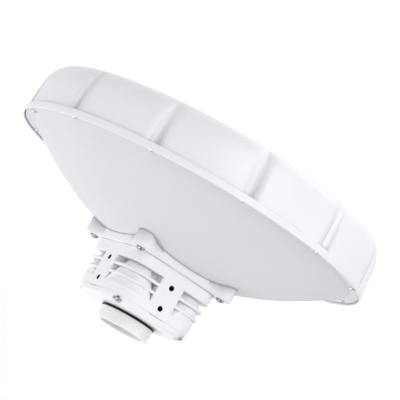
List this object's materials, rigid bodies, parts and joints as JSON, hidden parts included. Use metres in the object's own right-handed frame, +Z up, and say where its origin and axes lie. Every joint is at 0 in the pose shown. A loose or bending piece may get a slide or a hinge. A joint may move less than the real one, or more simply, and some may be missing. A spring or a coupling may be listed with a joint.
{
  "type": "outdoor wireless bridge",
  "caption": "Dish radio bridge: round white radome over a pale reflector, a finned square housing behind, and a round sealed cable entry.",
  "frame": {"origin": "centre of the cable entry bore, in the plane of the housing's rear face", "axes": "+Y along the boresight, out through the radome; +Z up, through the top bracket pad; +X to the right seen from behind"},
  "size_m": [0.38, 0.1982, 0.38],
  "materials": {
    "radome_plastic": "satin cool white UV-stable plastic",
    "gasket_rubber": "dark sealing rubber",
    "reflector_coat": "matte pale grey coat on sheet aluminium",
    "stainless": "stainless steel",
    "housing_coat": "satin white powder coat on die-cast aluminium",
    "bare_aluminium": "machined aluminium",
    "feed_plastic": "natural low-loss plastic",
    "thermal_pad": "soft silicone pad",
    "black_plastic": "black moulded plastic",
    "board_green": "green solder mask",
    "tin_plate": "tin-plated steel",
    "gold_contact": "gold-plated spring contact",
    "button_plastic": "grey moulded plastic",
    "clear_plastic": "clear light pipe",
    "led_body": "small LED body",
    "collar_plastic": "satin white moulded plastic",
    "o_ring_rubber": "glossy black rubber"
  },
  "bodies": {
    "bridge": {"radome_shell": "radome_plastic", "radome_gasket": "gasket_rubber", "reflector_dish": "reflector_coat", "rim_screws": "stainless", "dish_hub": "housing_coat", "hub_gasket": "gasket_rubber", "hub_screws": "stainless", "hub_nuts": "stainless", "feed_waveguide": "bare_aluminium", "feed_screws": "stainless", "feed_cone": "feed_plastic", "subreflector": "bare_aluminium", "radio_housing": "housing_coat", "housing_screws": "stainless", "rf_thermal_pad": "thermal_pad", "rf_module": "bare_aluminium", "link_connector": "black_plastic", "main_board": "board_green", "board_screws": "stainless", "processor_shield": "tin_plate", "processor_chips": "black_plastic", "power_parts": "black_plastic", "network_jack": "tin_plate", "jack_contacts": "gold_contact", "reset_switch": "black_plastic", "light_pipes": "clear_plastic", "status_leds": "led_body", "port_plate": "black_plastic", "rear_cover": "housing_coat", "rear_cover_gasket": "gasket_rubber", "rear_cover_screws": "stainless", "gland_collar": "collar_plastic", "collar_o_ring": "o_ring_rubber", "collar_screws": "stainless"},
    "button": {"reset_button": "button_plastic"}
  },
  "joints": [
    {"name": "reset_press", "type": "slide", "parent": "bridge", "child": "button", "axis": [0, 1, 0], "range_m": [0, 0.0008], "stiffness_N_per_m": 1500}
  ]
}
